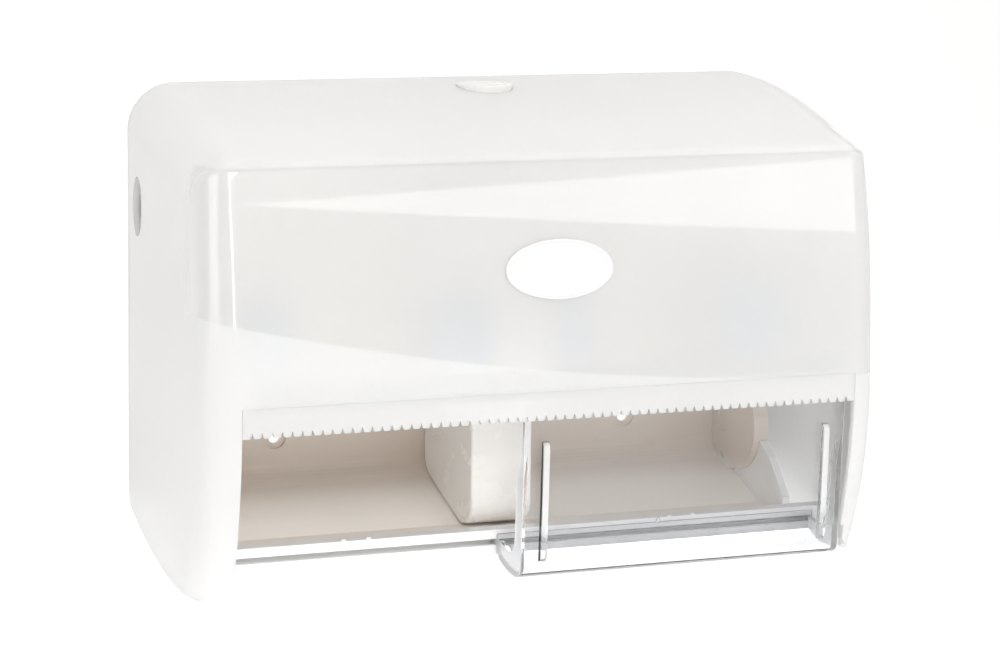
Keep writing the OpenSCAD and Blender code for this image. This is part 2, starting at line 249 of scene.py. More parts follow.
class Nodes:
    """A node tree with its principled shader, and short ways to add to it."""

    def __init__(self, name, **values):
        self.material = bpy.data.materials.new(name)
        self.material.use_nodes = True
        self.tree = self.material.node_tree
        self.shader = self.tree.nodes["Principled BSDF"]
        for key, value in values.items():
            self.shader.inputs[key.replace("_", " ")].default_value = value
        self.coords = self.add("ShaderNodeTexCoord").outputs["Object"]

    def xyz(self):
        split = self.add("ShaderNodeSeparateXYZ")
        self.link(self.coords, split.inputs[0])
        return split.outputs

    def add(self, kind, **values):
        node = self.tree.nodes.new(kind)
        for key, value in values.items():
            setattr(node, key, value)
        return node

    def link(self, a, b):
        self.tree.links.new(a, b)

    def noise(self, scale, detail, stretch=None):
        node = self.add("ShaderNodeTexNoise")
        node.inputs["Scale"].default_value = scale
        node.inputs["Detail"].default_value = detail
        node.inputs["Roughness"].default_value = 0.55
        if stretch:
            mapping = self.add("ShaderNodeMapping")
            mapping.inputs["Scale"].default_value = stretch
            self.link(self.coords, mapping.inputs["Vector"])
            self.link(mapping.outputs[0], node.inputs["Vector"])
        else:
            self.link(self.coords, node.inputs["Vector"])
        return node.outputs["Fac"]

    def remap(self, value, low, high, to_low, to_high, soft=True):
        node = self.add("ShaderNodeMapRange")
        node.interpolation_type = "SMOOTHSTEP" if soft else "LINEAR"
        for socket, v in zip(("From Min", "From Max", "To Min", "To Max"), (low, high, to_low, to_high)):
            node.inputs[socket].default_value = v
        self.link(value, node.inputs["Value"])
        return node.outputs["Result"]

    def math(self, operation, a, b=None):
        node = self.add("ShaderNodeMath", operation=operation)
        for socket, v in zip(node.inputs, (a, b)):
            if v is None:
                continue
            if isinstance(v, (int, float)):
                socket.default_value = v
            else:
                self.link(v, socket)
        return node.outputs[0]

    def mix(self, fac, a, b):
        """Mixes two colours by a value."""
        node = self.add("ShaderNodeMix", data_type="RGBA")
        self.link(fac, node.inputs["Factor"])
        node.inputs["A"].default_value = (*a, 1)
        node.inputs["B"].default_value = (*b, 1)
        return node.outputs["Result"]

    def bump(self, height, strength, distance):
        node = self.add("ShaderNodeBump")
        node.inputs["Distance"].default_value = distance
        if isinstance(strength, (int, float)):
            node.inputs["Strength"].default_value = strength
        else:
            self.link(strength, node.inputs["Strength"])
        self.link(height, node.inputs["Height"])
        self.link(node.outputs[0], self.shader.inputs["Normal"])


def moulded(name, light, dark, rough, grain):
    """Moulded opaque plastic: faint flow shading, a fine grain and uneven gloss."""
    n = Nodes(name)
    n.link(n.mix(n.noise(14, 4), dark, light), n.shader.inputs["Base Color"])
    n.link(n.remap(n.noise(60, 5), 0.3, 0.7, rough[0], rough[1]), n.shader.inputs["Roughness"])
    n.bump(n.noise(2200, 2), grain, 0.0003)
    return n.material


# the line between the glossy panel and the grained skirt sweeps down to the right as a parabola
SWOOSH_LOW_H = 80.6
SWOOSH_RISE = 36.0
SWOOSH_SIDE_D = 92.0  # behind this depth the line climbs along the left side
SWOOSH_CLIMB = 0.224
# the crease that frames the glossy panel: its depth at the sides, its height at the top, its corner
CREASE_D = 90.0
CREASE_H = 175.5
CREASE_R = 12.0


def swoosh_height(x, d):
    line = SWOOSH_LOW_H + SWOOSH_RISE * ((HALF_W - x) / (2 * HALF_W)) ** 2
    return line + np.where(x < 0, np.maximum(0, SWOOSH_SIDE_D - d) * SWOOSH_CLIMB, 0)


def frosted_cover():
    """Frosted plastic, polished inside the framed panel and grained elsewhere."""
    n = Nodes("frosted_cover", IOR=1.4, Coat_Roughness=0.03, Coat_IOR=1.5)
    x, y, z = n.xyz()
    from_right = n.math("DIVIDE", n.math("SUBTRACT", HALF_W * MM, x), 2 * HALF_W * MM)
    line = n.math("MULTIPLY", n.math("POWER", from_right, 2.0), SWOOSH_RISE * MM)
    behind = n.math("MAXIMUM", n.math("ADD", y, SWOOSH_SIDE_D * MM), 0.0)
    climb = n.math("MULTIPLY", n.math("MULTIPLY", behind, SWOOSH_CLIMB), n.math("LESS_THAN", x, 0.0))
    above = n.math("SUBTRACT", n.math("SUBTRACT", z, LOW_Z + SWOOSH_LOW_H * MM), n.math("ADD", line, climb))
    over_line = n.remap(above, -0.5 * MM, 0.5 * MM, 0, 1)
    before_side = n.remap(y, -(CREASE_D + 0.6) * MM, -(CREASE_D - 0.6) * MM, 1, 0)
    under_top = n.remap(z, LOW_Z + (CREASE_H - 0.6) * MM, LOW_Z + (CREASE_H + 0.6) * MM, 1, 0)
    gloss = n.math("MULTIPLY", over_line, n.math("MULTIPLY", before_side, under_top))
    for socket, grained, polished in (("Coat Weight", 0.1, 1.0), ("Roughness", 0.5, 0.36),
                                      ("Transmission Weight", 0.5, 0.6)):
        n.link(n.remap(gloss, 0, 1, grained, polished, soft=False), n.shader.inputs[socket])
    n.link(n.mix(n.noise(9, 3), (0.86, 0.86, 0.858), (0.905, 0.904, 0.902)), n.shader.inputs["Base Color"])
    n.bump(n.noise(2600, 2), n.remap(gloss, 0, 1, 0.22, 0.012, soft=False), 0.0004)
    return n.material


def frosted(name, weight, rough=0.4, tint=(0.88, 0.89, 0.9), coat=0.15):
    """Milky plastic that lets a share of the light through."""
    n = Nodes(name, Transmission_Weight=weight, IOR=1.42, Coat_Weight=coat, Coat_Roughness=0.12)
    n.link(n.mix(n.noise(12, 3), tuple(c * 0.95 for c in tint), tint), n.shader.inputs["Base Color"])
    n.link(n.remap(n.noise(90, 4), 0.3, 0.7, rough - 0.04, rough + 0.05), n.shader.inputs["Roughness"])
    n.bump(n.noise(2400, 2), 0.12, 0.0003)
    return n.material


def clear_plastic():
    """Clear polystyrene: polished faces, and ends and grips that are a little rough and pale."""
    n = Nodes("clear_shutter", IOR=1.45)
    x, y, _ = n.xyz()
    x0, x1 = SHUTTER[0]
    left = n.remap(x, (x0 + 0.25) * MM, (x0 + 0.35) * MM, 1, 0)
    right = n.remap(x, (x1 - 0.35) * MM, (x1 - 0.25) * MM, 0, 1)
    grips = n.remap(y, -(SHUTTER_D + 0.6) * MM, -(SHUTTER_D + 0.2) * MM, 1, 0)
    cut = n.math("MAXIMUM", n.math("MAXIMUM", left, right), grips)
    n.link(n.mix(cut, (0.985, 0.99, 1.0), (0.93, 0.935, 0.95)), n.shader.inputs["Base Color"])
    polish = n.remap(n.noise(25, 4), 0.35, 0.75, 0.004, 0.02)
    n.link(n.math("MAXIMUM", polish, n.math("MULTIPLY", cut, 0.45)), n.shader.inputs["Roughness"])
    n.link(n.remap(cut, 0, 1, 1.0, 0.55, soft=False), n.shader.inputs["Transmission Weight"])
    n.bump(n.noise(18, 2), 0.03, 0.0004)
    return n.material


def plate_plastic():
    """Warm satin plastic, paler on the rim and the ends, with painted shade darkening the curve under the
    rolls and painted light paling the tray below it.
    """
    n = Nodes("body_plastic", Coat_Weight=0.25, Coat_Roughness=0.22)
    x, y, z = n.xyz()
    wide = n.math("ABSOLUTE", x)

    def by_height(h0, h1):
        """0 at a height of h0, 1 at h1."""
        return n.remap(z, LOW_Z + h0 * MM, LOW_Z + h1 * MM, 0, 1)

    # the end walls of the tray are pale outside the round hinge ears
    ear_d, ear_h = 24, 44
    ear_far = n.math("SQRT", n.math("ADD", n.math("POWER", n.math("ADD", y, ear_d * MM), 2.0),
                                    n.math("POWER", n.math("SUBTRACT", z, LOW_Z + ear_h * MM), 2.0)))
    end_wall = n.math("MULTIPLY", by_height(44, 42.5), n.remap(wide, 130.8 * MM, 131 * MM, 0, 1))
    cheek = n.math("MULTIPLY", end_wall, n.remap(ear_far, 21.2 * MM, 21.8 * MM, 0, 1))
    rim = n.math("MAXIMUM", n.remap(wide, 136.5 * MM, 138 * MM, 0, 1), by_height(197.5, 199))
    # painted light and shade: paler from 30 mm down to 18 mm on the tray, as if lit from above, and darker
    # from 54 mm down to 31 mm in the curve, as painted shade under the cover
    tray = by_height(30, 18)
    curve_shade_mask = by_height(54, 31)

    def over(factor, under, colour):
        mixed = n.add("ShaderNodeMix", data_type="RGBA")
        n.link(factor, mixed.inputs["Factor"])
        n.link(under, mixed.inputs["A"])
        n.link(colour, mixed.inputs["B"])
        return mixed.outputs["Result"]

    wall = n.mix(n.noise(11, 4), (0.78, 0.68, 0.59), (0.83, 0.735, 0.645))
    # painted shade colour for the curve, then painted light colour for the tray
    curve_shade_colour = n.mix(n.noise(11, 4), (0.66, 0.56, 0.47), (0.70, 0.60, 0.51))
    light = n.mix(n.noise(11, 4), (0.97, 0.91, 0.84), (0.985, 0.935, 0.875))
    pale = n.mix(n.noise(14, 4), (0.88, 0.875, 0.865), (0.93, 0.925, 0.915))
    colour = over(tray, over(curve_shade_mask, wall, curve_shade_colour), light)
    n.link(over(n.math("MAXIMUM", rim, cheek), colour, pale), n.shader.inputs["Base Color"])
    n.link(n.remap(n.noise(60, 5), 0.3, 0.7, 0.32, 0.44), n.shader.inputs["Roughness"])
    n.bump(n.noise(2200, 2), 0.1, 0.0003)
    return n.material


def metal(name, colour, rough):
    """Bright plated steel with fine drawing marks along its length."""
    n = Nodes(name, Metallic=1.0)
    n.link(n.mix(n.noise(40, 4), tuple(c * 0.86 for c in colour), colour), n.shader.inputs["Base Color"])
    drawn = (0.05, 1, 1)
    n.link(n.remap(n.noise(700, 4, drawn), 0.3, 0.7, rough, rough + 0.16), n.shader.inputs["Roughness"])
    n.bump(n.noise(900, 3, drawn), 0.08, 0.0002)
    return n.material


MATERIALS = {
    "cover": frosted_cover(),
    "frosted": frosted("frosted_plastic", 0.3),
    "arm": frosted("frosted_arm", 0.35, 0.42, (0.86, 0.855, 0.84)),
    "rail": frosted("frosted_rail", 0.12, 0.42, (0.97, 0.97, 0.965)),
    "body": plate_plastic(),
    "blade": frosted("frosted_blade", 0.5, 0.5, (0.86, 0.86, 0.857), 0.1),
    "white": moulded("white_plastic", (0.66, 0.65, 0.636), (0.63, 0.62, 0.606), (0.24, 0.34), 0.05),
    "post": moulded("post_plastic", (0.985, 0.96, 0.925), (0.965, 0.94, 0.905), (0.2, 0.3), 0.05),
    "hub": moulded("hub_plastic", (0.42, 0.52, 0.66), (0.38, 0.48, 0.62), (0.26, 0.36), 0.05),
    "badge": moulded("badge_plastic", (0.63, 0.63, 0.63), (0.6, 0.6, 0.6), (0.3, 0.4), 0.02),
    "clear": clear_plastic(),
    "steel": metal("zinc_steel", (0.72, 0.72, 0.73), 0.2),
}


def dress(obj, look, body, replaced=()):
    """Gives a piece its material and its body, and hides the CAD nodes it stands for."""
    obj.data.materials.clear()
    obj.data.materials.append(MATERIALS[look])
    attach(obj, body)
    if replaced:
        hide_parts(*replaced)
    return obj


def refine(node, look, width=0.35):
    """Keeps a CAD node and gives it rounded edges and a material."""
    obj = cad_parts[node]
    obj.data.materials.clear()
    obj.data.materials.append(MATERIALS[look])
    weld = obj.modifiers.new("weld", "WELD")
    weld.merge_threshold = 0.005 * MM
    bevel(obj, width, 2, 35)
    flatten_normals(obj)


# ---------- the cover's skin ----------


def round_meet(a, b, r):
    """Distance to where two insides meet, with a rounded edge."""
    return np.minimum(np.maximum(a, b), -r) + np.hypot(np.maximum(a + r, 0), np.maximum(b + r, 0))


def circle_gap(arc_, d, h):
    """Signed distance from an arc's circle, negative inside."""
    return np.hypot(d - arc_[0], h - arc_[1]) - arc_[2]


BROW = circles_meet(TOP_ARC[:2], TOP_ARC[2] - BROW_R, FRONT_ARC[:2], FRONT_ARC[2] - BROW_R, -1)


def brow_gap(d, h, front):
    """Signed distance from the top and the front, which meet in an arc tangent to both."""

    def turn(arc_):
        """Which side of the line from the arc's centre to the brow's a point lies on."""
        return (d - arc_[0]) * (BROW[1] - arc_[1]) - (h - arc_[1]) * (BROW[0] - arc_[0])

    on_brow = circle_gap((*BROW, BROW_R), d, h)
    between = (turn(FRONT_ARC) < 0) & (turn(TOP_ARC) > 0)
    return np.where(between, on_brow, np.maximum(circle_gap(TOP_ARC, d, h), front))


def panel_groove(x, d, h):
    """Depth of the line that frames the glossy panel, and of the panel inside it."""
    inside = -round_meet(CREASE_D - d, h - CREASE_H, CREASE_R)
    depth = 0.75 * smooth(-4.5, 0, inside) - 0.4 * smooth(0, 1.0, inside)
    return depth * smooth(-8, 12, h - swoosh_height(x, d))


def skin_gap(x, d, h):
    """Signed distance from the outer face of the cover, negative inside."""
    front = np.where(h > BULGE_H, circle_gap(FRONT_ARC, d, h), circle_gap(SKIRT_ARC, d, h))
    profile = brow_gap(d, h, front)
    edge_r = 20 - 6 * smooth(92, 112, d)
    return round_meet(profile, np.abs(x) - HALF_W, edge_r) + panel_groove(x, d, h)


CORE = (130.0, 102.0, 170.0)  # half width, depth and height of a box inside the rounded edges


def search(near, far, outside):
    """Halves the gap between near, inside, and far, outside, until they meet."""
    for _ in range(34):
        middle = (near + far) / 2
        out = outside(middle)
        far = np.where(out, middle, far)
        near = np.where(out, near, middle)
    return near


def on_skin(x, d, h):
    """Drops points of the surrounding box onto the skin, along lines from a core box."""
    p = np.stack(np.broadcast_arrays(x, d, h), -1).astype(float)
    q = p.copy()
    q[..., 0] = np.clip(p[..., 0], -CORE[0], CORE[0])
    q[..., 1] = np.minimum(p[..., 1], CORE[1])
    # the core follows the skirt as it curves back below the bulge
    below = np.minimum(p[..., 2], BULGE_H) - BULGE_H
    back = SKIRT_ARC[2] - np.sqrt(SKIRT_ARC[2] ** 2 - below**2)
    back = back * smooth(40, CORE[1], p[..., 1])
    p[..., 1] -= back
    q[..., 1] -= back
    q[..., 2] = np.minimum(p[..., 2], CORE[2])
    way = p - q
    way /= np.linalg.norm(way, axis=-1, keepdims=True)

    def outside(reach):
        s = q + way * reach[..., None]
        return skin_gap(s[..., 0], s[..., 1], s[..., 2]) > 0

    reach = search(np.zeros(p.shape[:-1]), np.full(p.shape[:-1], 60.0), outside)
    return q + way * reach[..., None]


def skin_depth(x, h, inset):
    """Depth of the front of the skin straight in front of (x, h)."""
    return search(np.full(np.shape(x), 60.0), np.full(np.shape(x), 130.0),
                  lambda d: skin_gap(x, d, h) > -inset)


CHIN = circles_meet(SKIRT_ARC[:2], SKIRT_ARC[2] - CHIN_R, BELLY_ARC[:2], BELLY_ARC[2] - CHIN_R, -1)
HEEL_R = BELLY_ARC[2] - math.dist(BELLY_ARC[:2], PIVOT)


def tangent_depth(arc_, centre):
    """Depth at which a smaller circle inside an arc touches it."""
    return arc_[0] + arc_[2] * (centre[0] - arc_[0]) / math.dist(arc_[:2], centre)


def lowest(d):
    """Height of the lower edge of the side walls at a depth."""
    heel = PIVOT[1] - np.sqrt(np.maximum(HEEL_R**2 - (d - PIVOT[0]) ** 2, 0))
    belly = BELLY_ARC[1] - np.sqrt(BELLY_ARC[2] ** 2 - (d - BELLY_ARC[0]) ** 2)
    chin = CHIN[1] - np.sqrt(np.maximum(CHIN_R**2 - (d - CHIN[0]) ** 2, 0))
    out = np.where(d < tangent_depth(BELLY_ARC, PIVOT), heel, belly)
    return np.where(d > tangent_depth(BELLY_ARC, CHIN), chin, out)


def spaced(*stops):
    """Values from stop to stop, where each stop is (value, step up to it)."""
    out = [stops[0]]
    for end, step in stops[1:]:
        n = max(1, round(abs(end - out[-1]) / step))
        out += list(np.linspace(out[-1], end, n + 1)[1:])
    return np.array(out)


def build_cover_shell():
    """A thin skin of grids over the front, the top, the side walls and the strips beside the outlet."""
    x_half = spaced(0, (125, 2.5), (130, 1), (OUTLET, 0.7), (HALF_W, 0.65))
    xs = np.concatenate([-x_half[:0:-1], x_half])
    ds = spaced(REAR_D, (84, 2.6), (94, 0.5), (CORE[1], 1.0), (FRONT_D, 0.7))
    low_t = np.linspace(0, 1, 34)
    high = spaced(TEAR_HIGH, (CORE[2], 2.4), (TOP_H, 0.5))

    def rows(col_x, col_d):
        """Heights of the lower rows of a column: from its lower edge to the tear bar."""
        bottom = np.full(np.shape(col_x), 20.0)
        for _ in range(8):
            s = on_skin(col_x, col_d, bottom)
            bottom = lowest(np.minimum(s[..., 1], CHIN[0] + CHIN_R - 0.05))
        return bottom[..., None] + (TEAR_HIGH - bottom[..., None]) * low_t

    def outlet_x(h):
        """Where a column starts so that it meets the skin at the outlet's straight side edge."""
        h = np.asarray(h, float)
        return search(np.full(h.shape, 130.0), np.full(h.shape, 148.0),
                      lambda x: on_skin(x, FRONT_D, h)[..., 0] > OUTLET)

    verts, faces = [], []

    def add_grid(p):
        start = len(verts)
        n, m = p.shape[:2]
        verts.extend(point(*v) for v in p.reshape(-1, 3))
        for i in range(n - 1):
            for j in range(m - 1):
                a = start + i * m + j
                faces.append((a, a + 1, a + m + 1, a + m))

    # the columns above the outlet's side edges keep in line with them
    outlet_col = outlet_x(TEAR_HIGH)
    columns = np.where(np.isclose(np.abs(xs), OUTLET), np.sign(xs) * outlet_col, xs)
    add_grid(on_skin(columns[:, None], FRONT_D, high[None, :]))
    add_grid(on_skin(columns[:, None], ds[None, :], TOP_H))
    strip = x_half[x_half >= OUTLET - 0.01]
    for side in (-1, 1):
        # side wall above and below the tear bar
        add_grid(on_skin(side * HALF_W, ds[:, None], high[None, :]))
        add_grid(on_skin(side * HALF_W, ds[:, None], rows(np.full(len(ds), side * HALF_W), ds)))
        # strip of the front beside the outlet
        gh = rows(side * strip, np.full(len(strip), FRONT_D))
        gx = strip[:, None] + 0 * gh
        gx[0] = outlet_x(gh[0])
        add_grid(on_skin(side * gx, FRONT_D, gh))

    mesh = bpy.data.meshes.new("cover_shell")
    mesh.from_pydata(verts, [], faces)
    bm = bmesh.new()
    bm.from_mesh(mesh)
    bmesh.ops.remove_doubles(bm, verts=bm.verts, dist=0.02 * MM)
    bmesh.ops.dissolve_degenerate(bm, edges=bm.edges, dist=0.01 * MM)
    bmesh.ops.recalc_face_normals(bm, faces=bm.faces)
    front_face = max(bm.faces, key=lambda f: -f.calc_center_median().y)
    if front_face.normal.y > 0:
        bmesh.ops.reverse_faces(bm, faces=bm.faces)
    bm.to_mesh(mesh)
    bm.free()
    obj = show("cover_shell", mesh)
    thicken(obj, WALL).use_even_offset = True
    bevel(obj, 0.3, 2, 60)
    apply_modifiers(obj)
    # the round hole for the button and the two oval windows in the side walls
    holes = [prism("hole", arc((0, BUTTON_D), 12.25, 0, 357, 119), (180, 215), "h")]
    window = [(21 + 6 * c, 151 + 12.5 * s) for c, s in arc((0, 0), 1, 0, 355, 71)]
    holes += [prism("window", window, (side * 140, side * 155)) for side in (-1, 1)]
    return boolean(obj, holes, "DIFFERENCE")


dress(build_cover_shell(), "cover", "cover", ["cover"])

# ---------- what is moulded on the cover ----------

RAIL_D = (74, 82)
RAIL_H = (5.5, 16.5)
RAIL_HALF = 137.4
SLOT_D = (76, 79)  # slot that holds the shutter's tongue
SLOT_H = (8.5, 13.9)
MOUTH_H = (10, 12.4)
HINGE_BOSS_X = 135.6
LATCH_POST_X = 20
STOP_X = (69, 80)  # nubs on top of the rail, on each side


def build_rail():
    (d0, d1), (h0, h1), (s0, s1), (c0, c1), (m0, m1) = RAIL_D, RAIL_H, SLOT_D, SLOT_H, MOUTH_H
    channel = [(d0, h0), (d1, h0), (d1, m0), (s1, m0), (s1, c0), (s0, c0),
               (s0, c1), (s1, c1), (s1, m1), (d1, m1), (d1, h1), (d0, h1)]
    return flatten_normals(bevel(prism("cover_rail", channel, (-RAIL_HALF, RAIL_HALF)), 0.4, 3))


def build_rail_end(side, name):
    (d0, d1), (h0, h1) = RAIL_D, RAIL_H
    block = [(d0, h0), (d1, h0), (d1, h1), (d0, h1)]
    end = prism(f"cover_rail_end_{name}", block, (side * RAIL_HALF, side * (HALF_W - 1.5)))
    return flatten_normals(bevel(end, 0.4, 3))


def build_hinge_boss(side, name):
    profile = [(2.06, 0), (5.6, 0), (5.95, 0.35), (5.95, 12.4), (2.06, 12.4)]
    return lathe(f"cover_hinge_boss_{name}", profile, point(side * HINGE_BOSS_X, *PIVOT), (side, 0, 0), 64)


def build_latch_post(side, name):
    profile = [(1.5, 0), (4.2, 0), (4.5, 0.3), (4.5, 10.6), (1.5, 10.6)]
    foot = point(side * LATCH_POST_X, BUTTON_D, 186.2)
    return lathe(f"cover_latch_post_{name}", profile, foot, (0, 0, 1), 48)


def build_rail_stop(x, name):
    profile = [(0.01, 0), (1.2, 0), (1.2, 0.8), (0.9, 1.1), (0.01, 1.1)]
    foot = point(x, RAIL_D[1] - 1.25, RAIL_H[1] - 0.3)
    return lathe(f"cover_rail_stop_{name}", profile, foot, (0, 0, 1), 32)


cover_parts = [build_rail()]
for side, name in ((-1, "left"), (1, "right")):
    cover_parts += [build_rail_end(side, name), build_hinge_boss(side, name), build_latch_post(side, name)]
    cover_parts += [build_rail_stop(side * x, f"{name}_{k}") for k, x in enumerate(STOP_X)]
for part in cover_parts:
    dress(part, "rail", "cover")


# ---------- tear bar ----------


def skin_sheet(name, x, h, inset, thickness, edge):
    """A plate over a grid of (x, h) that follows the skin at an inset."""
    d = skin_depth(x, h, inset)
    n, m = h.shape
    verts = [point(*v) for v in np.stack([x, d, h], -1).reshape(-1, 3)]
    faces = [(i * m + j, (i + 1) * m + j, (i + 1) * m + j + 1, i * m + j + 1)
             for i in range(n - 1) for j in range(m - 1)]
    obj = new_object(name, verts, faces)
    if sum(p.normal.y for p in obj.data.polygons) > 0:
        obj.data.flip_normals()
    thicken(obj, thickness)
    bevel(obj, edge, 2, 50)
    return apply_modifiers(obj)


def build_tear_blade():
    """The strip under the cover's front, with a narrow slit between each two teeth."""
    teeth = 65
    slit = ((-1.4, 0), (-0.8, 0.05), (-0.15, 2.1), (0.15, 2.1), (0.8, 0.05), (1.4, 0))
    end = OUTLET - 0.15
    middles = [i * 2 * OUTLET / teeth - OUTLET for i in range(1, teeth)]
    edge = [(-end, 0)] + [(x + dx, dh) for x in middles for dx, dh in slit] + [(end, 0)]
    low = np.array([TEAR_LOW + dh for _, dh in edge])[:, None]
    h = low + (TEAR_HIGH - 0.04 - low) * np.array([0, 0.12, 0.3, 0.65, 1.0])[None, :]
    x = np.array([x for x, _ in edge])[:, None] + 0 * h
    return skin_sheet("tear_blade", x, h, 0.04, 2.2, 0.12)


def build_tear_flange():
    """The blade's upper part, riveted inside the cover's wall."""
    x, h = np.meshgrid(np.linspace(-130, 130, 105), [78.0, 79.0, 81.0, 84.0, 87.0, 90.0], indexing="ij")
    return skin_sheet("tear_flange", x, h, WALL + 0.06, 1.7, 0.3)


dress(build_tear_blade(), "blade", "cover", ["tear_bar"])
dress(build_tear_flange(), "frosted", "cover")

# ---------- badge: a low oval dome with a thin raised rim ----------


def build_badge():
    h0 = (BADGE[2][0] + BADGE[2][1]) / 2
    lean = math.asin((h0 - BULGE_H) / FRONT_ARC[2])
    d0 = FRONT_ARC[0] + FRONT_ARC[2] * math.cos(lean)
    out = Vector((0, -math.cos(lean), math.sin(lean)))
    up = Vector((0, math.sin(lean), math.cos(lean)))
    centre = point(0, d0, h0)
    rings = [(1.0, -1.1), (1.0, 0.35), (0.985, 0.55), (0.955, 0.6), (0.925, 0.52), (0.91, 0.3), (0.885, 0.22),
             (0.7, 0.33), (0.45, 0.42), (0.2, 0.46), (0.04, 0.47)]
    n, half_w, half_h, sunk = 96, 23.9, 12.4, 0.38
    verts, faces = [], []
    for scale, lift in rings:
        for i in range(n):
            a = 2 * math.pi * i / n
            verts.append(centre + Vector((half_w * scale * math.cos(a) * MM, 0, 0))
                         + up * (half_h * scale * math.sin(a) * MM) + out * ((lift - sunk) * MM))
    for k in range(len(rings) - 1):
        low, high = k * n, (k + 1) * n
        faces += [(low + i, low + (i + 1) % n, high + (i + 1) % n, high + i) for i in range(n)]
    faces += [tuple(range(n)), tuple(range(len(rings) * n - n, len(rings) * n))]
    return new_object("badge_oval", verts, faces)


dress(build_badge(), "badge", "cover", ["badge"])

# ---------- clear shutter ----------


def build_shutter():
    """A clear tray: front, curved floor and low ends, with a lip and a tongue that run in the rail."""
    x0, x1 = SHUTTER[0]
    t = 2.2
    corner_c, floor_c = (103.4, 5.8), (103.4, 40.8)

    def line(inset, n):
        front = [(SHUTTER_D - inset, 72.5)]
        return front + arc(corner_c, 5 - inset, 0, -90, n) + arc(floor_c, 40 - inset, -92, -118, n)

    body = prism("shutter_panel", line(0, 20) + line(t, 20)[::-1], (x0, x1))
    flange = ([(109.6, 56), (103.4, 42)] + arc((96, 16), 6, 0, -90, 10) + [(84.8, 12.5), (84.2, 6.6)]
              + arc(floor_c, 39.2, -92, -118, 14)[::-1] + arc(corner_c, 4.2, 0, -90, 12)[::-1])
    lip = [(82.6, 6.3), (84.8, 6.3), (84.8, 14.4), (84.2, 15), (83.2, 15), (82.6, 14.4)]
    neck = [(78.5, 10.3), (83, 10.3), (83, 12.1), (78.5, 12.1)]
    tongue = [(76.3, 8.8), (78.7, 8.8), (78.7, 13.6), (76.3, 13.6)]
    parts = [
        prism("lip", lip, (x0 + 0.02, x1 - 0.02)),
        prism("neck", neck, (x0 + 0.04, x1 - 0.04)),
        prism("tongue", tongue, (x0 + 0.04, x1 - 0.04)),
        prism("flange", flange, (x0 + 0.03, x0 + t)),
        prism("flange", flange, (x1 - t, x1 - 0.03)),
        lathe("catch", [(0.01, 0), (1.1, 0), (1.1, 0.6), (0.5, 2.3), (0.01, 2.3)],
              point((x0 + x1) / 2, 83.7, 14.4), (0, 0, 1), 24),
    ]
    grip = [(108.3, 8), (110.2, 8.4), (111.6, 10.5), (113.2, 55), (112.9, 57.4), (111.6, 58.8), (110.0, 59)]
    parts += [prism("grip", grip, (x, x + 2.6)) for x in (x0 + 8, x1 - 10.6)]
    boolean(body, parts, "UNION")
    return flatten_normals(bevel(body, 0.35, 3, 45))


dress(build_shutter(), "clear", "shutter", ["shutter"])

# ---------- hubs ----------


def build_hub(node):
    """A hollow-nosed hub with six shallow flutes. Its root is the flanged end."""
    box = millimetres(node)
    length = box[0][1] - box[0][0]
    away = 1 if node in ("hub_left_outer", "hub_right_inner") else -1
    root = box[0][0] if away > 0 else box[0][1]
    profile = [(3.05, 0), (19.2, 0), (19.5, 0.3), (19.5, 1.3), (19.2, 1.6), (18.2, 1.9), (17.5, 2.8),
               (17.5, 3.6), (17.5, 4.4), (17.5, 8), (17.5, 14), (17.5, length - 4)]
    profile += [(r, s) for s, r in arc((length - 4, 13.5), 4, 90, 0, 8)][1:]
    profile += [(9, length), (6.7, length), (6.4, length - 0.3), (6.4, length - 2.7), (6.1, length - 3),
                (3.05, length - 3)]

    def flutes(angle, r, s):
        if r < 12 or s < 2.8:
            return r
        near = math.degrees(abs((angle + math.pi / 6) % (math.pi / 3) - math.pi / 6))
        return r - 0.8 * float(1 - smooth(2.0, 6.0, near)) * float(smooth(3.0, 4.4, s))

    return lathe(node + "_barrel", profile, point(root, AXIS_D, AXIS_H), (away, 0, 0), 144, flutes)


for node in ("hub_left_outer", "hub_left_inner", "hub_right_inner", "hub_right_outer"):
    dress(build_hub(node), "hub", node, [node])  # each hub is its own body

# ---------- push button and its spring ----------


def build_button():
    """The stem, the collar over the spring, the flange under the cover and the domed cap, as one
    turned body, with the finger that hooks behind the strike."""
    low, top = BUTTON[2]
    stem = [(0.02, low), (3.6, low), (4, low + 0.4), (4, 174.5)]
    collar = [(7.2, 174.5), (7.5, 174.8), (7.5, 178.2), (7.2, 178.5), (4, 178.5), (4, 191)]
    flange = [(13.3, 191), (13.6, 191.3), (13.6, 192.7), (13.3, 193), (12.3, 193.1), (12.0, 193.5)]
    cap = [(12.0, top - 1.2), (11.9, top - 0.75), (11.6, top - 0.4), (11.0, top - 0.25),
           (7.0, top - 0.08), (3.0, top - 0.02), (0.02, top)]
    body = lathe("button_body", stem + collar + flange + cap, point(0, BUTTON_D, 0), (0, 0, 1))
    tip = BUTTON[1][0]
    finger = [(tip, 174.7), (30, 174.7), (30, 178.3), (18.6, 178.3), (18.6, 182.5), (17, 182.5), (tip, 180)]
    boolean(body, [prism("finger", finger, (-7, 7))], "UNION")
    return flatten_normals(bevel(body, 0.2, 2, 50))


dress(build_button(), "white", "button", ["latch_button"])


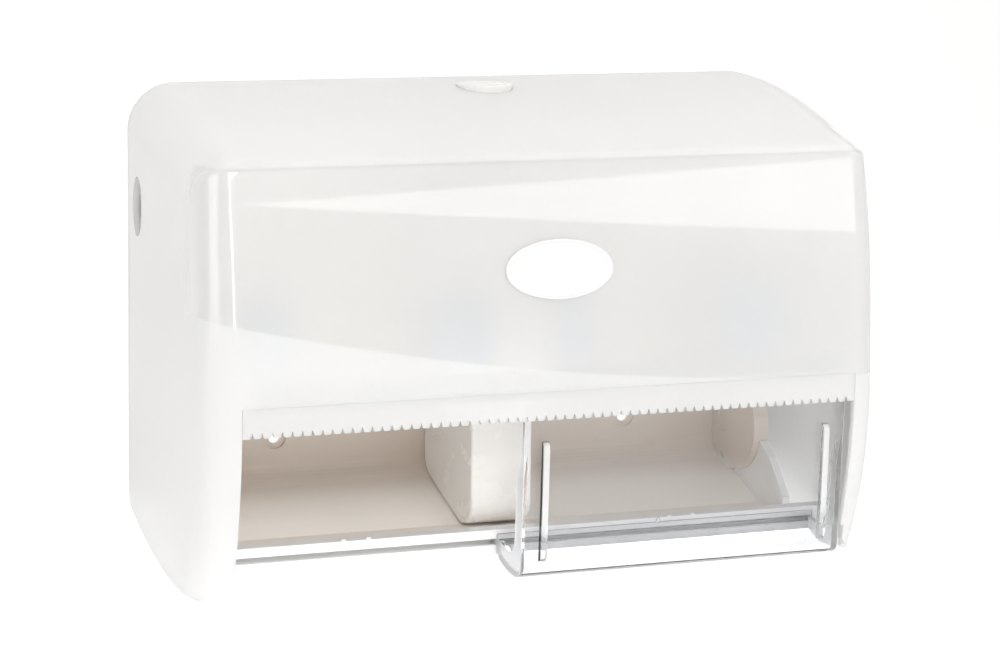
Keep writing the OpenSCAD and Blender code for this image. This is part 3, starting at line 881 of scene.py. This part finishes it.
def build_spring():
    """The coil under the button's collar."""
    low, high = SPRING[2]
    wire, turns, sides, rings = 0.5, 4, 10, 144
    radius = SPRING[0][1] - wire
    verts = []
    for i in range(rings + 1):
        a = 2 * math.pi * turns * i / rings
        for k in range(sides):
            b = 2 * math.pi * k / sides
            r = radius + wire * math.cos(b)
            h = low + wire * (1 + math.sin(b)) + (high - low - 2 * wire) * i / rings
            verts.append(point(r * math.cos(a), BUTTON_D + r * math.sin(a), h))
    faces = []
    for start in range(0, rings * sides, sides):
        for k in range(sides):
            j = (k + 1) % sides
            faces.append((start + k, start + sides + k, start + sides + j, start + j))
    faces += [tuple(range(sides)), tuple(range(rings * sides, (rings + 1) * sides))]
    return new_object("coil_spring", verts, faces)


spring = dress(build_spring(), "steel", "cover", ["latch_spring"])
point(0, BUTTON_D, SPRING[2][0])
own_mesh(spring)

# ---------- centre post ----------


def build_post():
    """The post's side outline: a flat back, a nose around the axle and a foot over the tray."""
    line = [(3.2, 150), (24, 150)] + arc((AXIS_D, AXIS_H), 22, 62, -62, 24) + [(59, 72), (59, 24)]
    line += arc((49, 22.5), 10, 0, -90, 12) + [(46, 11.9)] + arc((15, 36), 11.7, 250, 180, 12) + [(3.2, 37)]
    return flatten_normals(bevel(prism("post_casing", line, POST[0]), 1.3, 4, 35))


dress(build_post(), "post", "back", ["centre_post"])

# ---------- CAD nodes that are kept, with rounded edges and materials ----------

refine("back_plate", "body", 0.5)
refine("latch_housing", "white")
for node in ("arm_left", "arm_right"):
    refine(node, "arm", 0.6)
for node in ("post_screws", "centre_axle", "axle_clips", "arm_axle_left", "arm_axle_right",
             "hinge_pin_left", "hinge_pin_right", "latch_screws"):
    refine(node, "steel", 0.15)


# ---------- studio ----------


FLOOR_DROP = 0.45  # the dispenser hangs on its wall, well above the floor


def studio_floor():
    """A pale floor that curves up into a backdrop far behind."""
    bend_y, bend_r = 1.6, 1.2
    profile = [(-6.0, 0.0), (bend_y, 0.0)]
    profile += [(bend_y + bend_r * math.sin(a), bend_r - bend_r * math.cos(a))
                for a in np.linspace(0.1, math.pi / 2, 16)] + [(bend_y + bend_r, 5.0)]
    verts = [(x, y, LOW_Z - FLOOR_DROP + z) for x in (-6, 6) for y, z in profile]
    n = len(profile)
    faces = [(i, i + 1, n + i + 1, n + i) for i in range(n - 1)]
    mesh = bpy.data.meshes.new("studio_floor")
    mesh.from_pydata(verts, [], faces)
    mesh.shade_smooth()
    obj = show("studio_floor", mesh)
    paint = Nodes("pale_floor", Roughness=0.9)
    paint.link(paint.mix(paint.noise(2, 3), (0.93,) * 3, (0.95,) * 3), paint.shader.inputs["Base Color"])
    mesh.materials.append(paint.material)


def place(obj, spot, x_axis, y_axis, z_axis):
    """Puts a light or the camera at a spot; it looks against its z axis."""
    turn = Matrix((x_axis, y_axis, z_axis)).transposed().to_4x4()
    obj.matrix_world = Matrix.Translation(spot) @ turn


def area_light(name, size, power):
    light = bpy.data.lights.new(name, "AREA")
    light.shape = "RECTANGLE"
    light.size, light.size_y = size
    light.energy = power
    return show(name, light)


def softbox(name, azimuth, elevation, distance, size, power, aim=(0, -0.06, 0.02)):
    """A rectangular light that faces the object. Azimuth 0 is straight in front, positive to the right."""
    az, el = math.radians(azimuth), math.radians(elevation)
    away = Vector((math.sin(az) * math.cos(el), -math.cos(az) * math.cos(el), math.sin(el)))
    across = Vector((math.cos(az), math.sin(az), 0))
    place(area_light(name, size, power), Vector(aim) + away * distance, across, away.cross(across), away)


def slanted_softbox(name, corner, far_end, low_end, power):
    """A rectangular light with one corner near and its sides running off to the right, which shows in
    the glossy panel as a wedge."""
    across = far_end - corner
    x_axis = across.normalized()
    down = low_end - corner
    down -= x_axis * down.dot(x_axis)
    y_axis = down.normalized()
    centre = corner + (across + down) / 2
    if x_axis.cross(y_axis).dot(centre) < 0:
        y_axis.negate()
    light = area_light(name, (across.length, down.length), power)
    place(light, centre, x_axis, y_axis, x_axis.cross(y_axis))


def photo_camera():
    """A camera at the photo's angle, a little over the object and to its left."""
    yaw, pitch, roll = (math.radians(a) for a in (23.0, 9.07, 0.8))
    ahead = Vector((math.sin(yaw) * math.cos(pitch), math.cos(yaw) * math.cos(pitch), -math.sin(pitch)))
    level = Vector((math.cos(yaw), -math.sin(yaw), 0))
    upright = level.cross(ahead)
    right = level * math.cos(roll) + upright * math.sin(roll)
    up = upright * math.cos(roll) - level * math.sin(roll)
    camera = bpy.data.cameras.new("camera")
    camera.lens = 118.35
    obj = show("camera", camera)
    middle = point(0, 65, 95)
    place(obj, middle - right * 0.0038 + up * 0.0019 - ahead * 1.3923, right, up, -ahead)
    bpy.context.scene.camera = obj


studio_floor()
photo_camera()
slanted_softbox("key", Vector((0.427, -1.779, 0.437)), Vector((1.084, -1.168, 0.426)),
                Vector((2.45, -3.954, 0.459)), 22)
softbox("front_fill", -14, 15, 2.5, (0.3, 1.5), 8)
softbox("tray_fill", 3, 25, 2.2, (0.9, 0.6), 13)
softbox("right_fill", 62, 32, 1.9, (1.2, 1.2), 8)
softbox("left_side", -80, 12, 1.8, (1.2, 1.4), 10.5)
softbox("overhead", 180, 62, 2.0, (2.6, 1.4), 9)
softbox("backdrop", 0, 35, 1.9, (3.0, 1.0), 3, aim=(0, 2.6, 0))
world = bpy.data.worlds.new("studio")
bpy.context.scene.world = world
world.use_nodes = True
sky = world.node_tree.nodes["Background"]
sky.inputs["Color"].default_value = (1.0, 0.992, 0.98, 1)
sky.inputs["Strength"].default_value = 0.86
bpy.context.scene.view_settings.view_transform = "Standard"
